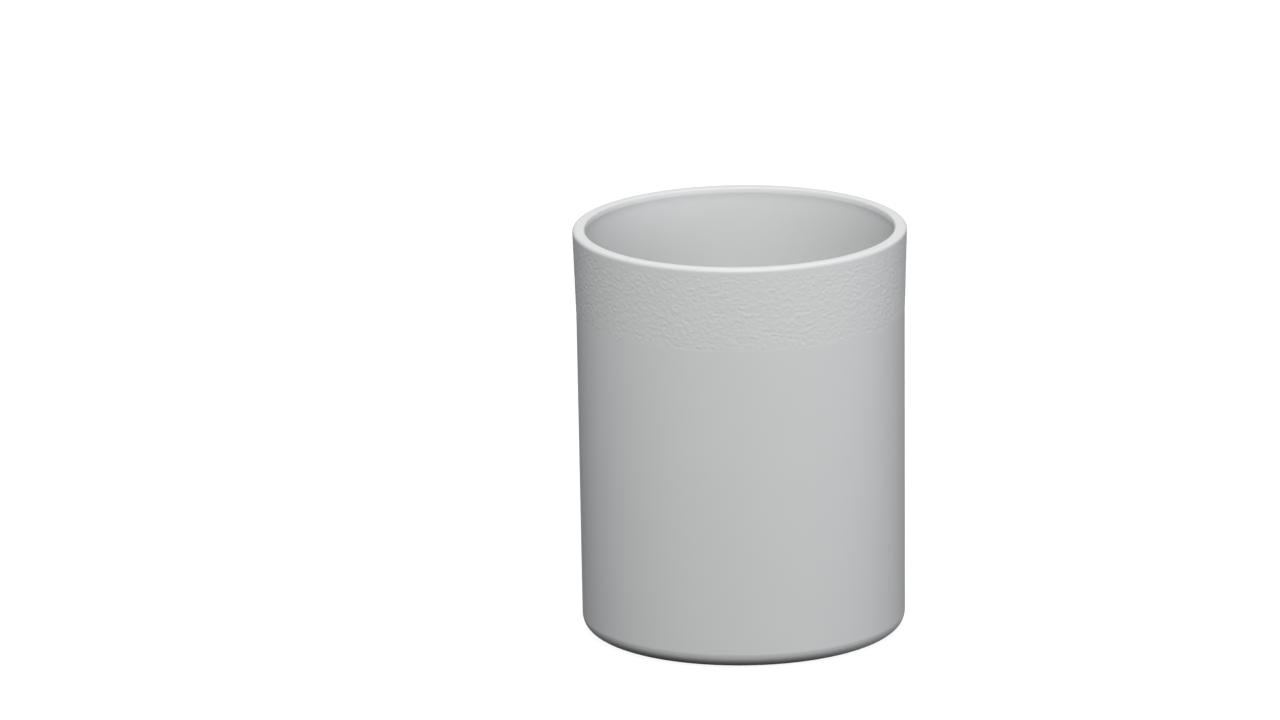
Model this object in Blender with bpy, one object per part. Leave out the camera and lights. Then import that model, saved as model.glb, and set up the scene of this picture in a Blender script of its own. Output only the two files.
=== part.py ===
"""Round desk pen cup: one thick-walled moulding on a stick-on non-slip pad.

The origin is the centre of the pad's underside, +Z points up and lengths are metres.
"""
from math import cos, pi, sin

import bpy
import bmesh
from mathutils import Vector

MM = 0.001

# Driving sizes of the cup
overall_height = 102.0 * MM     # desk to rim, standing on the pad
foot_diameter = 79.7 * MM       # smooth wall, just above the foot round
band_diameter = 80.8 * MM       # where the smooth wall meets the grained band
rim_diameter = 82.2 * MM        # outside of the rim
band_height = 21.0 * MM         # grained band, measured down from the rim
rim_width = 2.95 * MM           # wall thickness at the rim
band_wall = 2.6 * MM            # wall thickness at the foot of the band, where it is thinnest
foot_wall = 3.3 * MM            # wall thickness at the floor
floor_thickness = 2.6 * MM      # plastic between the pad recess and the inside floor
foot_ring_width = 4.0 * MM      # flat plastic ring under the foot, round the pad recess

# Edge rounds of the cup
rim_outer_round = 0.8 * MM
rim_inner_round = 0.7 * MM
foot_round = 3.9 * MM
floor_fillet = 2.5 * MM

# Non-slip pad and the recess that it sits in
pad_thickness = 1.6 * MM
pad_proud = 0.4 * MM            # how far the pad stands below the plastic foot
pad_edge_round = 0.3 * MM
pad_side_gap = 0.5 * MM
glue_gap = 0.3 * MM             # adhesive layer between the pad and the recess
recess_lead_in = 0.4 * MM       # chamfer round the mouth of the recess

# Fineness of the turned shapes
turn_steps = 128
foot_round_steps = 10
edge_round_steps = 4
fillet_steps = 6
merge_distance = 0.01 * MM

# Heights and radii that follow from the driving sizes, from the desk up
foot_z = pad_proud
recess_z = pad_thickness + glue_gap
floor_z = recess_z + floor_thickness
band_z = overall_height - band_height
foot_radius = foot_diameter / 2
band_radius = band_diameter / 2
rim_radius = rim_diameter / 2
mouth_radius = rim_radius - rim_width
bore_radius = band_radius - band_wall
floor_radius = foot_radius - foot_wall
lead_in_radius = foot_radius - foot_round - foot_ring_width
recess_radius = lead_in_radius - recess_lead_in
pad_radius = recess_radius - pad_side_gap


def clear_scene():
    """Start from an empty scene."""
    for old in list(bpy.data.objects):
        bpy.data.objects.remove(old, do_unlink=True)


def plain_material(name, colour, roughness):
    """Principled material without metal."""
    material = bpy.data.materials.new(name)
    material.use_nodes = True
    shader = material.node_tree.nodes["Principled BSDF"]
    shader.inputs["Base Color"].default_value = (*colour, 1)
    shader.inputs["Roughness"].default_value = roughness
    shader.inputs["Metallic"].default_value = 0
    return material


def arc(centre, radius, start, end, steps):
    """Points of an arc in the profile plane, both ends included.

    Angles are in radians, from +X (away from the axis) towards +Z (up).
    """
    points = []
    for step in range(steps + 1):
        angle = start + (end - start) * step / steps
        points.append((centre[0] + radius * cos(angle), centre[1] + radius * sin(angle)))
    return points


def turned(name, profile, material):
    """Turn a profile of (radius, height) points round Z into one closed body."""
    mesh = bpy.data.meshes.new(name)
    bm = bmesh.new()
    points = [bm.verts.new(Vector((radius, 0, height))) for radius, height in profile]
    edges = [bm.edges.new(pair) for pair in zip(points, points[1:])]
    bmesh.ops.spin(bm, geom=points + edges, cent=(0, 0, 0), axis=(0, 0, 1),
                   angle=2 * pi, steps=turn_steps, use_duplicate=False)
    bmesh.ops.remove_doubles(bm, verts=bm.verts, dist=merge_distance)
    bmesh.ops.recalc_face_normals(bm, faces=bm.faces)
    bm.to_mesh(mesh)
    bm.free()
    mesh.shade_smooth()
    mesh.set_sharp_from_angle(angle=pi / 6)
    mesh.materials.append(material)
    piece = bpy.data.objects.new(name, mesh)
    bpy.context.scene.collection.objects.link(piece)
    return piece


def cup_profile():
    """Section of the cup, from the axis under the floor, up the outside, over the rim and down inside.

    The walls lean out towards the rim, the smooth outside least and the band most, and
    quarter rounds join them to the rim, the foot and the floor. Inside, the wall is one
    plain taper in all but name: its middle point, level with the foot of the band,
    follows the outside.
    """
    recess = [
        (0, recess_z),
        (recess_radius, recess_z),
        (recess_radius, foot_z + recess_lead_in),
        (lead_in_radius, foot_z),
    ]
    foot = arc((foot_radius - foot_round, foot_z + foot_round), foot_round, -pi / 2, 0, foot_round_steps)
    band_start = [(band_radius, band_z)]
    rim_out = arc((rim_radius - rim_outer_round, overall_height - rim_outer_round),
                  rim_outer_round, 0, pi / 2, edge_round_steps)
    rim_in = arc((mouth_radius + rim_inner_round, overall_height - rim_inner_round),
                 rim_inner_round, pi / 2, pi, edge_round_steps)
    bore = [(bore_radius, band_z)]
    floor = arc((floor_radius - floor_fillet, floor_z + floor_fillet), floor_fillet, 0, -pi / 2, fillet_steps)
    return recess + foot + band_start + rim_out + rim_in + bore + floor + [(0, floor_z)]


def pad_profile():
    """Section of the pad, from the axis below, round its edge, to the axis above."""
    edge = arc((pad_radius - pad_edge_round, pad_edge_round), pad_edge_round, -pi / 2, 0, edge_round_steps)
    return [(0, 0)] + edge + [(pad_radius, pad_thickness), (0, pad_thickness)]


def main():
    clear_scene()
    grey_plastic = plain_material("grey_plastic", colour=(0.60, 0.61, 0.61), roughness=0.45)
    pad_rubber = plain_material("pad_rubber", colour=(0.05, 0.05, 0.05), roughness=0.85)
    turned("cup_body", cup_profile(), grey_plastic)
    turned("base_pad", pad_profile(), pad_rubber)


main()
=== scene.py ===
# %% [markdown]
# # A round desk pen cup
# The real cup is one thick moulding of light grey plastic that stands on a stick-on rubber pad.
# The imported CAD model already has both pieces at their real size, so this script only dresses
# them: it loads that model as a fixed frame, and makes a finer cup and pad in the same places.

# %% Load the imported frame
from math import atan, cos, hypot, pi, radians, sin, tan

import bpy
from mathutils import Matrix, Quaternion, Vector


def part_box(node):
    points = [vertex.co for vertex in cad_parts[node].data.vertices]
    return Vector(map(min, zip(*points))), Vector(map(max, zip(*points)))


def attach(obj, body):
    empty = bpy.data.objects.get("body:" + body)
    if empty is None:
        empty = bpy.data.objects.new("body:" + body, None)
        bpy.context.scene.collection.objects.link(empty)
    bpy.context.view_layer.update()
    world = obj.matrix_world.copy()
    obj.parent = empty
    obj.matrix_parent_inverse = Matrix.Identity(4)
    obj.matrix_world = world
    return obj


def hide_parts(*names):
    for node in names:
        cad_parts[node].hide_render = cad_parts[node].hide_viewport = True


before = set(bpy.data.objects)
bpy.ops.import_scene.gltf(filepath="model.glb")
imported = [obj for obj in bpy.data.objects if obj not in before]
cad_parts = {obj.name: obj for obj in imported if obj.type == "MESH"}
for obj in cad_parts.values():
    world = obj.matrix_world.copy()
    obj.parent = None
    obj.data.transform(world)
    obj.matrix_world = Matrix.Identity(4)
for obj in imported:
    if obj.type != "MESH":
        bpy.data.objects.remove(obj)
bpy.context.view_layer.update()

MM = 0.001

# %% [markdown]
# ## The camera
# A product picture like this one is taken from far away with a long lens, a little above the
# rim, so the sides of the cup stay nearly parallel. Distance and lens could be guessed by eye,
# but the rim's and the foot's ellipses give them: the further the camera, the more alike the
# two ellipses are. The values here are that fit. The camera first looks straight at the middle
# of the moulding and is then turned until the middle lies on its pixel of the photograph.

# %% Place the camera
photo_size = (1280, 720)
cup_centre_pixel = (741.04, 427.05)
pixels_per_mm = 4.0575
camera_distance = 4021 * MM
camera_reach = 10 * camera_distance
camera_elevation = radians(15.5)
camera_roll = radians(0.634)
sensor_width_mm = 36

cup_low, cup_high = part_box("cup_body")
cup_centre = (cup_low + cup_high) / 2


def add_camera():
    """Camera at the photograph's angle, as far away and as tightly framed."""
    data = bpy.data.cameras.new("photo_camera")
    focal_pixels = pixels_per_mm / MM * camera_distance
    data.sensor_width = sensor_width_mm
    data.lens = focal_pixels / photo_size[0] * sensor_width_mm
    data.clip_end = camera_reach
    camera = bpy.data.objects.new("photo_camera", data)
    bpy.context.scene.collection.objects.link(camera)

    to_camera = Vector((0, -cos(camera_elevation), sin(camera_elevation)))
    forward, right = -to_camera, Vector((1, 0, 0))
    up = right.cross(forward)
    yaw = Quaternion(up, atan((cup_centre_pixel[0] - photo_size[0] / 2) / focal_pixels))
    forward, right = yaw @ forward, yaw @ right
    pitch = Quaternion(right, atan((cup_centre_pixel[1] - photo_size[1] / 2) / focal_pixels))
    forward, up = pitch @ forward, pitch @ up
    roll = Quaternion(forward, camera_roll)
    right, up = roll @ right, roll @ up
    turn = Matrix((right, up, -forward)).transposed().to_4x4()
    camera.matrix_world = Matrix.Translation(cup_centre + to_camera * camera_distance) @ turn
    bpy.context.scene.camera = camera
    print(f"camera: lens {data.lens:.0f} mm, {camera_distance:.2f} m from the cup")


add_camera()

# %% [markdown]
# ## Sizes from the frame
# The cup is a turned shape, so a handful of radii and heights says all of it. They are read
# from the CAD cup's own rings of points, so the finer cup can't drift away from it. Only the
# edge rounds, the lead-in of the pad recess and the height of the grained band are written
# here.

# %% Read the rings of the CAD solids
band_height = 21.0 * MM
rim_outer_round = 0.8 * MM
rim_inner_round = 0.7 * MM
foot_round = 3.9 * MM
floor_fillet = 2.5 * MM
recess_lead_in = 0.4 * MM
pad_edge_round = 0.3 * MM
ring_slack = 0.05 * MM


def turned_points(node):
    """(radius, height) of every point of a turned CAD node, smallest radius first."""
    return sorted((hypot(v.co.x, v.co.y), v.co.z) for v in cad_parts[node].data.vertices)


def rings_at(height):
    """Radii of the CAD cup's points at a height, smallest first."""
    return [radius for radius, z in cup_points if abs(z - height) < ring_slack]


cup_points = turned_points("cup_body")
foot_z, rim_z = cup_low.z, cup_high.z
band_z = rim_z - band_height
recess_radius = cup_points[0][0]
recess_z = max(z for radius, z in cup_points if radius < recess_radius + ring_slack)
floor_z = min(point for point in cup_points if point[1] > recess_z + ring_slack)[1]
lead_in_radius = rings_at(foot_z)[0]
foot_radius = rings_at(foot_z + foot_round)[-1]
band_radius = rings_at(band_z)[-1]
rim_radius = rings_at(rim_z - rim_outer_round)[-1]
mouth_radius = rings_at(rim_z - rim_inner_round)[0]
floor_radius = rings_at(floor_z + floor_fillet)[0]
pad_low, pad_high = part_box("base_pad")
for name, value in (("rim radius", rim_radius), ("mouth radius", mouth_radius),
                    ("band radius", band_radius), ("foot radius", foot_radius),
                    ("floor height", floor_z), ("recess height", recess_z)):
    print(f"{name}: {value / MM:.2f} mm")

# %% [markdown]
# ## Tools used by every piece
# Operators act on whatever is selected, and the CAD nodes are selected after loading. So a
# piece starts from nothing selected, and its points are picked by their place. A turned piece
# could be built up ring by ring from a circle, but drawing half of its section and spinning it
# is how a toolmaker's drawing says it, and rounds are then just bevelled corners of a line.

# %% Helpers for drawing a section and turning it
near = 0.02 * MM
merge_distance = 0.005 * MM
sharp_angle = radians(40)


def start_fresh():
    """Leave edit mode and deselect everything."""
    if bpy.context.object and bpy.context.object.mode != "OBJECT":
        bpy.ops.object.mode_set(mode="OBJECT")
    bpy.ops.object.select_all(action="DESELECT")


def pick_points(piece, wanted):
    """In edit mode, select just the points whose place passes a test, and count them."""
    bpy.ops.mesh.select_mode(type="VERT")
    bpy.ops.mesh.select_all(action="DESELECT")
    bpy.ops.object.mode_set(mode="OBJECT")
    picked = [v for v in piece.data.vertices if wanted(v.co)]
    for vertex in picked:
        vertex.select = True
    bpy.ops.object.mode_set(mode="EDIT")
    return len(picked)


def draw_section(name, points):
    """Trace a half section in the XZ plane, point by point, from a plane shrunk to one point."""
    start_fresh()
    radius, height = points[0]
    bpy.ops.mesh.primitive_plane_add(size=MM, location=(radius, 0, height))
    piece = bpy.context.object
    piece.name = piece.data.name = name
    bpy.ops.object.transform_apply(location=True, rotation=True, scale=True)
    bpy.ops.object.mode_set(mode="EDIT")
    bpy.ops.mesh.select_all(action="SELECT")
    bpy.ops.mesh.merge(type="CENTER")
    for (r0, z0), (r1, z1) in zip(points, points[1:]):
        bpy.ops.mesh.extrude_region_move(TRANSFORM_OT_translate={"value": (r1 - r0, 0, z1 - z0)})
    return piece


def round_corner(piece, corner, size, steps):
    """Bevel the corner of a section at (radius, height)."""
    radius, height = corner
    found = pick_points(piece, lambda p: hypot(p.x - radius, p.z - height) < near)
    if found != 1:
        raise ValueError(f"{piece.name}: {found} points at {corner}")
    bpy.ops.mesh.bevel(offset=size, affect="VERTICES", segments=steps, profile=0.5)


def apply_modifier(piece, kind, **settings):
    """Add one modifier with its settings, and apply it."""
    modifier = piece.modifiers.new(kind.lower(), kind)
    for key, value in settings.items():
        setattr(modifier, key, value)
    bpy.context.view_layer.objects.active = piece
    bpy.ops.object.modifier_apply(modifier=modifier.name)


def turn_section(piece, steps):
    """Turn a section once round Z. Its ends lie on the axis, so they close in two poles."""
    bpy.ops.object.mode_set(mode="OBJECT")
    apply_modifier(piece, "SCREW", angle=2 * pi, screw_offset=0, steps=steps, render_steps=steps)
    bpy.ops.object.mode_set(mode="EDIT")
    bpy.ops.mesh.select_all(action="SELECT")
    bpy.ops.mesh.remove_doubles(threshold=merge_distance)
    bpy.ops.mesh.normals_make_consistent(inside=False)
    bpy.ops.object.mode_set(mode="OBJECT")


def smooth_turned(piece):
    """Shade smooth but for square corners, and let big faces rule the shading beside rounds."""
    start_fresh()
    piece.select_set(True)
    bpy.context.view_layer.objects.active = piece
    bpy.ops.object.shade_smooth_by_angle(angle=sharp_angle)
    apply_modifier(piece, "WEIGHTED_NORMAL", keep_sharp=True)
    print(f"{piece.name}: {len(piece.data.vertices)} points, {len(piece.data.polygons)} faces")


# %% [markdown]
# ## The cup moulding
# The real cup comes out of one mould: a core makes the plain tapered inside and a cavity the
# outside. The wall is about 3 mm thick, the foot has a big soft round, and the rim is flat
# with small rounds on both edges. The section is traced from the pad recess outwards, up the
# wall, over the rim and down to the floor, its corners are bevelled, and it is turned once.

# %% Sizes of the section
turn_steps = 760
foot_round_steps = 12
rim_round_steps = 5
fillet_steps = 6
band_rings = 78


def extend(start, end, height):
    """Radius where the line through two (radius, height) points reaches a height."""
    share = (height - start[1]) / (end[1] - start[1])
    return start[0] + (end[0] - start[0]) * share


wall_low, wall_high = (foot_radius, foot_z + foot_round), (band_radius, band_z)
band_end = (rim_radius, rim_z - rim_outer_round)
bore_top, bore_end = (mouth_radius, rim_z - rim_inner_round), (floor_radius, floor_z + floor_fillet)
rim_outer_corner = (extend(wall_high, band_end, rim_z), rim_z)
rim_inner_corner = (extend(bore_top, bore_end, rim_z), rim_z)
floor_corner = (extend(bore_top, bore_end, floor_z), floor_z)

# %% [markdown]
# Two details are finer than the CAD solid. At the foot the mould has a joint, where the steel
# of the wall meets the steel of the base: the round doesn't run smoothly into the wall but
# starts there with a faint edge and a narrow cone. Inside the mouth the core has a similar
# joint, which leaves a low bead about a millimetre under the rim: a bright strip that leans
# out, then a shadow that fades down the wall.

# %% Faint edge at the foot and bead in the mouth
foot_edge_height = 3.6 * MM
foot_cone = radians(9)
foot_tangent = 3.15 * MM
foot_edge_softness = 0.06 * MM
# Depth under the rim, height above the bore, length of the round and its steps
bead_points = (
    (1.25 * MM, 0.17 * MM, 0.12 * MM, 2),
    (2.32 * MM, 0, 0.8 * MM, 6),
)
lip_tangent = 0.83 * MM
mouth_round = 0.45 * MM
grain_top = rim_z - rim_outer_round

foot_edge_z = foot_z + foot_edge_height
foot_edge = (extend(wall_low, wall_high, foot_edge_z), foot_edge_z)
foot_corner = (foot_edge[0] - foot_edge_height * tan(foot_cone), foot_z)
bead = [(extend(bore_top, bore_end, rim_z - depth) - proud, rim_z - depth)
        for depth, proud, softness, steps in bead_points]

# %% Draw and turn the cup


def model_cup():
    """The whole moulding as one closed turned body, with many fine rings in the grained band."""
    cup = draw_section("cup_moulding", [
        (0, recess_z), (recess_radius, recess_z), (recess_radius, foot_z + recess_lead_in),
        (lead_in_radius, foot_z), foot_corner, foot_edge, wall_high, rim_outer_corner,
        rim_inner_corner, *bead, floor_corner, (0, floor_z)])
    round_corner(cup, foot_corner, foot_tangent, foot_round_steps)
    round_corner(cup, foot_edge, foot_edge_softness, steps=1)
    round_corner(cup, rim_outer_corner, lip_tangent, rim_round_steps)
    round_corner(cup, rim_inner_corner, mouth_round, rim_round_steps - 1)
    for corner, (depth, proud, softness, steps) in zip(bead, bead_points):
        round_corner(cup, corner, softness, steps)
    round_corner(cup, floor_corner, floor_fillet, fillet_steps)
    pick_points(cup, lambda p: p.x > band_radius - near and band_z - near < p.z < grain_top + near)
    bpy.ops.mesh.subdivide(number_cuts=band_rings - 1)
    turn_section(cup, turn_steps)
    return cup


cup = model_cup()
print("cup:", len(cup.data.vertices), "points")

# %% [markdown]
# ## The grain
# The top band is grained in the mould: the steel there is eroded or etched a few hundredths of
# a millimetre deep, like fine leather. Grain drags on the steel as the cup is pulled out, which
# is why that band leans out more than the smooth wall below it. A bump map alone would do from
# far away, but then the outline stays smooth, so the coarse grain is pressed into the mesh with
# a Displace modifier, and only the finest part is left to the material. The grain has no frame:
# it runs out in single wrinkles at the smooth wall, and flattens out towards the rim, so a
# vertex group with soft edges holds it back there.

# %% Press the grain into the band
grain_size = 0.62 * MM
grain_height = 0.172 * MM
grain_run_out = 0.5 * MM
rim_run_out = 2.0 * MM


def grain_share(place):
    """How much of the grain a point of the outside gets, from 0 to 1."""
    if hypot(place.x, place.y) < band_radius - near:
        return 0
    return min((place.z - band_z) / grain_run_out, (grain_top - place.z) / rim_run_out, 1)


def press_grain(piece):
    """Raise and sink the band by a noise. It stays inside the rim's radius, as the band leans."""
    group = piece.vertex_groups.new(name="grain")
    for vertex in piece.data.vertices:
        share = grain_share(vertex.co)
        if share > 0:
            group.add([vertex.index], share, "REPLACE")
    texture = bpy.data.textures.new("grain_noise", "CLOUDS")
    texture.noise_scale = grain_size
    texture.noise_depth = 1
    apply_modifier(piece, "DISPLACE", texture=texture, texture_coords="LOCAL",
                   vertex_group="grain", direction="NORMAL", mid_level=0.5, strength=grain_height)
    bpy.data.textures.remove(texture)
    print(f"grain: a point every {2 * pi * rim_radius / turn_steps / MM:.2f} mm round the band")


press_grain(cup)
smooth_turned(cup)

# %% [markdown]
# ## The pad
# Cups like this one have a round self-adhesive foam rubber pad under them, so they neither
# slide nor scratch the desk. It is punched from sheet, and the punch rounds its edges a little.
# The same section and spin make it.

# %% Draw and turn the pad
pad_steps = 256
pad_round_steps = 4


def model_pad():
    """A thin disc with softly rounded edges, at the place of its CAD node."""
    radius, low, high = pad_high.x, pad_low.z, pad_high.z
    pad = draw_section("foam_pad", [(0, low), (radius, low), (radius, high), (0, high)])
    for corner in ((radius, low), (radius, high)):
        round_corner(pad, corner, pad_edge_round, pad_round_steps)
    turn_section(pad, pad_steps)
    smooth_turned(pad)
    return pad


pad = model_pad()

# %% [markdown]
# ## Materials
# Moulded plastic is never one flat colour: the pigment swirls a little as it flows, and the
# satin finish of the mould gives it a fine roughness. Both are far below what one sees as a
# pattern. They are made with noise on Object coordinates, which stay on the piece and need no
# unwrapping.

# %% Helpers for materials
noise_low, noise_high = 0.3, 0.7


def new_material(name):
    """Empty principled material, with its tree, shader and object coordinates."""
    material = bpy.data.materials.new(name)
    material.use_nodes = True
    tree = material.node_tree
    place = tree.nodes.new("ShaderNodeTexCoord").outputs["Object"]
    return material, tree, tree.nodes["Principled BSDF"], place


def noise(tree, place, size, detail=2.0):
    """Noise with features about one size across, in metres."""
    node = tree.nodes.new("ShaderNodeTexNoise")
    node.inputs["Scale"].default_value = 1 / size
    node.inputs["Detail"].default_value = detail
    tree.links.new(place, node.inputs["Vector"])
    return node.outputs["Fac"]


def spread(tree, value, low, high):
    """Map the middle of a noise to a range."""
    node = tree.nodes.new("ShaderNodeMapRange")
    node.inputs["From Min"].default_value = noise_low
    node.inputs["From Max"].default_value = noise_high
    node.inputs["To Min"].default_value = low
    node.inputs["To Max"].default_value = high
    tree.links.new(value, node.inputs["Value"])
    return node.outputs["Result"]


def blend_colours(tree, share, first, second):
    """Mix two colours by a share."""
    node = tree.nodes.new("ShaderNodeMix")
    node.data_type = "RGBA"
    node.inputs["A"].default_value = (*first, 1)
    node.inputs["B"].default_value = (*second, 1)
    tree.links.new(share, node.inputs["Factor"])
    return node.outputs["Result"]


def bump(tree, height, depth, below=None):
    """Bump node for a height of 0 to 1 that is really depth deep, in metres."""
    node = tree.nodes.new("ShaderNodeBump")
    node.inputs["Distance"].default_value = depth
    tree.links.new(height, node.inputs["Height"])
    if below:
        tree.links.new(below, node.inputs["Normal"])
    return node.outputs["Normal"]


# %% [markdown]
# The cup is one plastic in three materials. The walls are satin and the band is grained,
# because the finish is a print of the mould's steel. The flat of the rim, where the two halves
# of the mould meet, is a touch duller. Its grey is also a touch darker and warmer, which is
# painted light: a tone set for that brightly lit top face, not a colour of the plastic. Three
# unrelated materials would be simpler to look at, but one function with a few settings keeps
# them one family: a change of the grey reaches all three. The grained kind adds the finest
# part of the grain, which is too small for the mesh.

# %% Grey plastic, smooth, grained and along the rim
grey_light = (0.605, 0.616, 0.617)
grey_dark = (0.587, 0.598, 0.599)
swirl_size = 14 * MM
sheen_patch_size = 5 * MM
sheen_change = 0.03
satin_size, satin_depth = 0.25 * MM, 0.002 * MM
fine_grain_size, fine_grain_depth = 0.45 * MM, 0.02 * MM


def grey_plastic(name, roughness, tint, grained=False):
    """Satin grey plastic with a slight tint, and the fine part of the grain if it has one."""
    material, tree, shader, place = new_material(name)
    swirl = noise(tree, place, swirl_size, detail=4)
    dark = [part * share for part, share in zip(grey_dark, tint)]
    light = [part * share for part, share in zip(grey_light, tint)]
    colour = blend_colours(tree, swirl, dark, light)
    tree.links.new(colour, shader.inputs["Base Color"])
    patches = noise(tree, place, sheen_patch_size)
    sheen = spread(tree, patches, roughness - sheen_change, roughness + sheen_change)
    tree.links.new(sheen, shader.inputs["Roughness"])
    surface = bump(tree, noise(tree, place, satin_size, detail=3), satin_depth)
    if grained:
        fine_grain = noise(tree, place, fine_grain_size, detail=3)
        surface = bump(tree, fine_grain, fine_grain_depth, below=surface)
    tree.links.new(surface, shader.inputs["Normal"])
    return material


cup_plastics = (
    grey_plastic("smooth_grey_plastic", roughness=0.55, tint=(1, 1, 1)),
    grey_plastic("grained_grey_plastic", roughness=0.6, tint=(1.04, 1.04, 1.035), grained=True),
    # The rim's tint is painted light: it sets the tone of the brightly lit top flat, not a colour
    # the plastic has.
    grey_plastic("rim_grey_plastic_painted_tone", roughness=0.6, tint=(1.005, 0.985, 0.98)),
)

# %% [markdown]
# Foam rubber sheet has open cells about half a millimetre wide at its cut face, and it greys in
# patches where it rubs on the desk. A Voronoi texture gives the cells: its distance is smallest
# in the middle of a cell, so one output makes both the pits and the duller walls between them.

# %% Foam rubber
foam_dark, foam_worn = (0.035, 0.035, 0.036), (0.06, 0.06, 0.06)
cell_size, cell_depth = 0.5 * MM, 0.08 * MM
cell_middle_roughness, cell_edge_roughness = 0.8, 0.95
worn_patch_size = 6 * MM


def foam_rubber():
    """Matt black foam: small open cells, a little lighter where the skin is worn."""
    material, tree, shader, place = new_material("black_foam_rubber")
    texture = tree.nodes.new("ShaderNodeTexVoronoi")
    texture.inputs["Scale"].default_value = 1 / cell_size
    tree.links.new(place, texture.inputs["Vector"])
    cells = texture.outputs["Distance"]
    worn = spread(tree, noise(tree, place, worn_patch_size, detail=4), 0, 1)
    colour = blend_colours(tree, worn, foam_dark, foam_worn)
    tree.links.new(colour, shader.inputs["Base Color"])
    sheen = spread(tree, cells, cell_middle_roughness, cell_edge_roughness)
    tree.links.new(sheen, shader.inputs["Roughness"])
    tree.links.new(bump(tree, cells, cell_depth), shader.inputs["Normal"])
    return material


foam = foam_rubber()

# %% [markdown]
# The three plastics are slots of one mesh, as the cup is one moulding. Faces could be picked by
# hand in the viewport, but a turned shape sorts itself: the radius and height of a face say
# whether it lies in the band, on the rim or elsewhere. Each piece then rides on the frame's only
# body and takes the place of its CAD node.

# %% Put the materials on
smooth, grained, rim = range(3)
face_slack = 0.08 * MM


def finish_of(face):
    """Which of the three plastics a face of the cup shows."""
    outside = hypot(face.center.x, face.center.y) > band_radius - face_slack
    if outside and band_z < face.center.z < grain_top:
        return grained
    return rim if face.center.z > rim_z - near else smooth


for plastic in cup_plastics:
    cup.data.materials.append(plastic)
for face in cup.data.polygons:
    face.material_index = finish_of(face)
pad.data.materials.append(foam)
for piece, node, slot in ((cup, "cup_body", "grey_plastic"), (pad, "base_pad", "pad_rubber")):
    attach(piece, "root")
    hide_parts(node)
print("grained faces:", sum(face.material_index == grained for face in cup.data.polygons))

# %% [markdown]
# ## Floor and light
# The photograph shows the cup on pure white, with hardly a shadow and nothing bright below it:
# the dark underside of the foot says so. A real white floor would light the foot from below.
# So the floor here glows by itself, nearly white, takes only a faint shadow, and is hidden from
# the light rays that leave the cup. Emission sampling is off, because a glowing plane of 400
# square metres would draw most of the light samples to itself and leave the cup grainy. The
# floor is clear from below, so that the pad can be looked at.

# %% Floor
floor_size = 20.0
floor_glow = 0.93
floor_tone = 0.12
floor_roughness = 0.9


def add_floor():
    """One wide pale plane, which is clear from below so that the foot can be seen."""
    start_fresh()
    bpy.ops.mesh.primitive_plane_add(size=floor_size, location=(0, 0, 0))
    floor = bpy.context.object
    floor.name = "studio_floor"
    material, tree, shader, _ = new_material("pale_floor")
    shader.inputs["Base Color"].default_value = (floor_tone, floor_tone, floor_tone, 1)
    shader.inputs["Roughness"].default_value = floor_roughness
    shader.inputs["Emission Color"].default_value = (1, 1, 1, 1)
    shader.inputs["Emission Strength"].default_value = floor_glow
    clear = tree.nodes.new("ShaderNodeBsdfTransparent").outputs["BSDF"]
    from_below = tree.nodes.new("ShaderNodeNewGeometry").outputs["Backfacing"]
    mix = tree.nodes.new("ShaderNodeMixShader")
    tree.links.new(from_below, mix.inputs["Fac"])
    tree.links.new(shader.outputs["BSDF"], mix.inputs[1])
    tree.links.new(clear, mix.inputs[2])
    tree.links.new(mix.outputs["Shader"], tree.nodes["Material Output"].inputs["Surface"])
    material.cycles.emission_sampling = "NONE"
    floor.data.materials.append(material)
    floor.visible_diffuse = False
    floor.visible_glossy = False
    floor.visible_shadow = False


add_floor()

# %% [markdown]
# The light is plain studio light from square softboxes. Most of it comes from the front, half
# way up, which models the grain and brightens the rim; two low ones keep the wall even down to
# the foot. Three small ones stand close, so their light fades down the wall as it does in the
# photograph. One behind is as high as the front one. Two low ones would light the back more
# evenly, but light that strikes the band squarely hides its grain, and light from above shows
# it. The last one stands behind and below the floor, which stops none of its light, and fills
# the back wall and the underside without a glare on the rim. The world is white for the camera
# alone: a white world would light the cup from all sides and flatten it.

# %% Lights
far_box, near_box = (1.6, 0.6), (0.5, 0.25)
neutral, cool = (1, 1, 1), (0.985, 1, 1.035)
# Name, azimuth and elevation in degrees, (distance, size) in metres, power in watts, colour
softboxes = (
    ("front_top", 0, 50, far_box, 24.9, neutral),
    ("front_low_left", -30, 10, far_box, 2.1, neutral),
    ("front_low_right", 30, 10, far_box, 4.0, neutral),
    ("left_front", -30, 35, near_box, 0.155, neutral),
    ("left_side", -105, 10, near_box, 0.59, cool),
    ("right_side", 90, 10, near_box, 0.92, cool),
    ("back_top", 180, 50, far_box, 11.8, neutral),
    ("back_low", 180, -25, far_box, 4.2, neutral),
)


def add_softbox(name, azimuth, elevation, box_kind, power, colour):
    """A square area light that faces the cup. Azimuth is to the camera's right."""
    distance, size = box_kind
    data = bpy.data.lights.new(name, "AREA")
    data.size = size
    data.energy = power
    data.color = colour
    box = bpy.data.objects.new(name, data)
    turn, lift = radians(azimuth), radians(elevation)
    away = Vector((sin(turn) * cos(lift), -cos(turn) * cos(lift), sin(lift)))
    box.location = cup_centre + away * distance
    box.rotation_euler = away.to_track_quat("Z", "Y").to_euler()
    box.visible_camera = False
    bpy.context.scene.collection.objects.link(box)


for softbox in softboxes:
    add_softbox(*softbox)


def add_world():
    """White to the camera and dark to everything else, so only the softboxes light the cup."""
    world = bpy.data.worlds.new("studio")
    bpy.context.scene.world = world
    world.use_nodes = True
    tree = world.node_tree
    background = tree.nodes["Background"]
    background.inputs["Color"].default_value = (1, 1, 1, 1)
    seen = tree.nodes.new("ShaderNodeLightPath").outputs["Is Camera Ray"]
    tree.links.new(seen, background.inputs["Strength"])


add_world()
bpy.context.scene.view_settings.view_transform = "Standard"
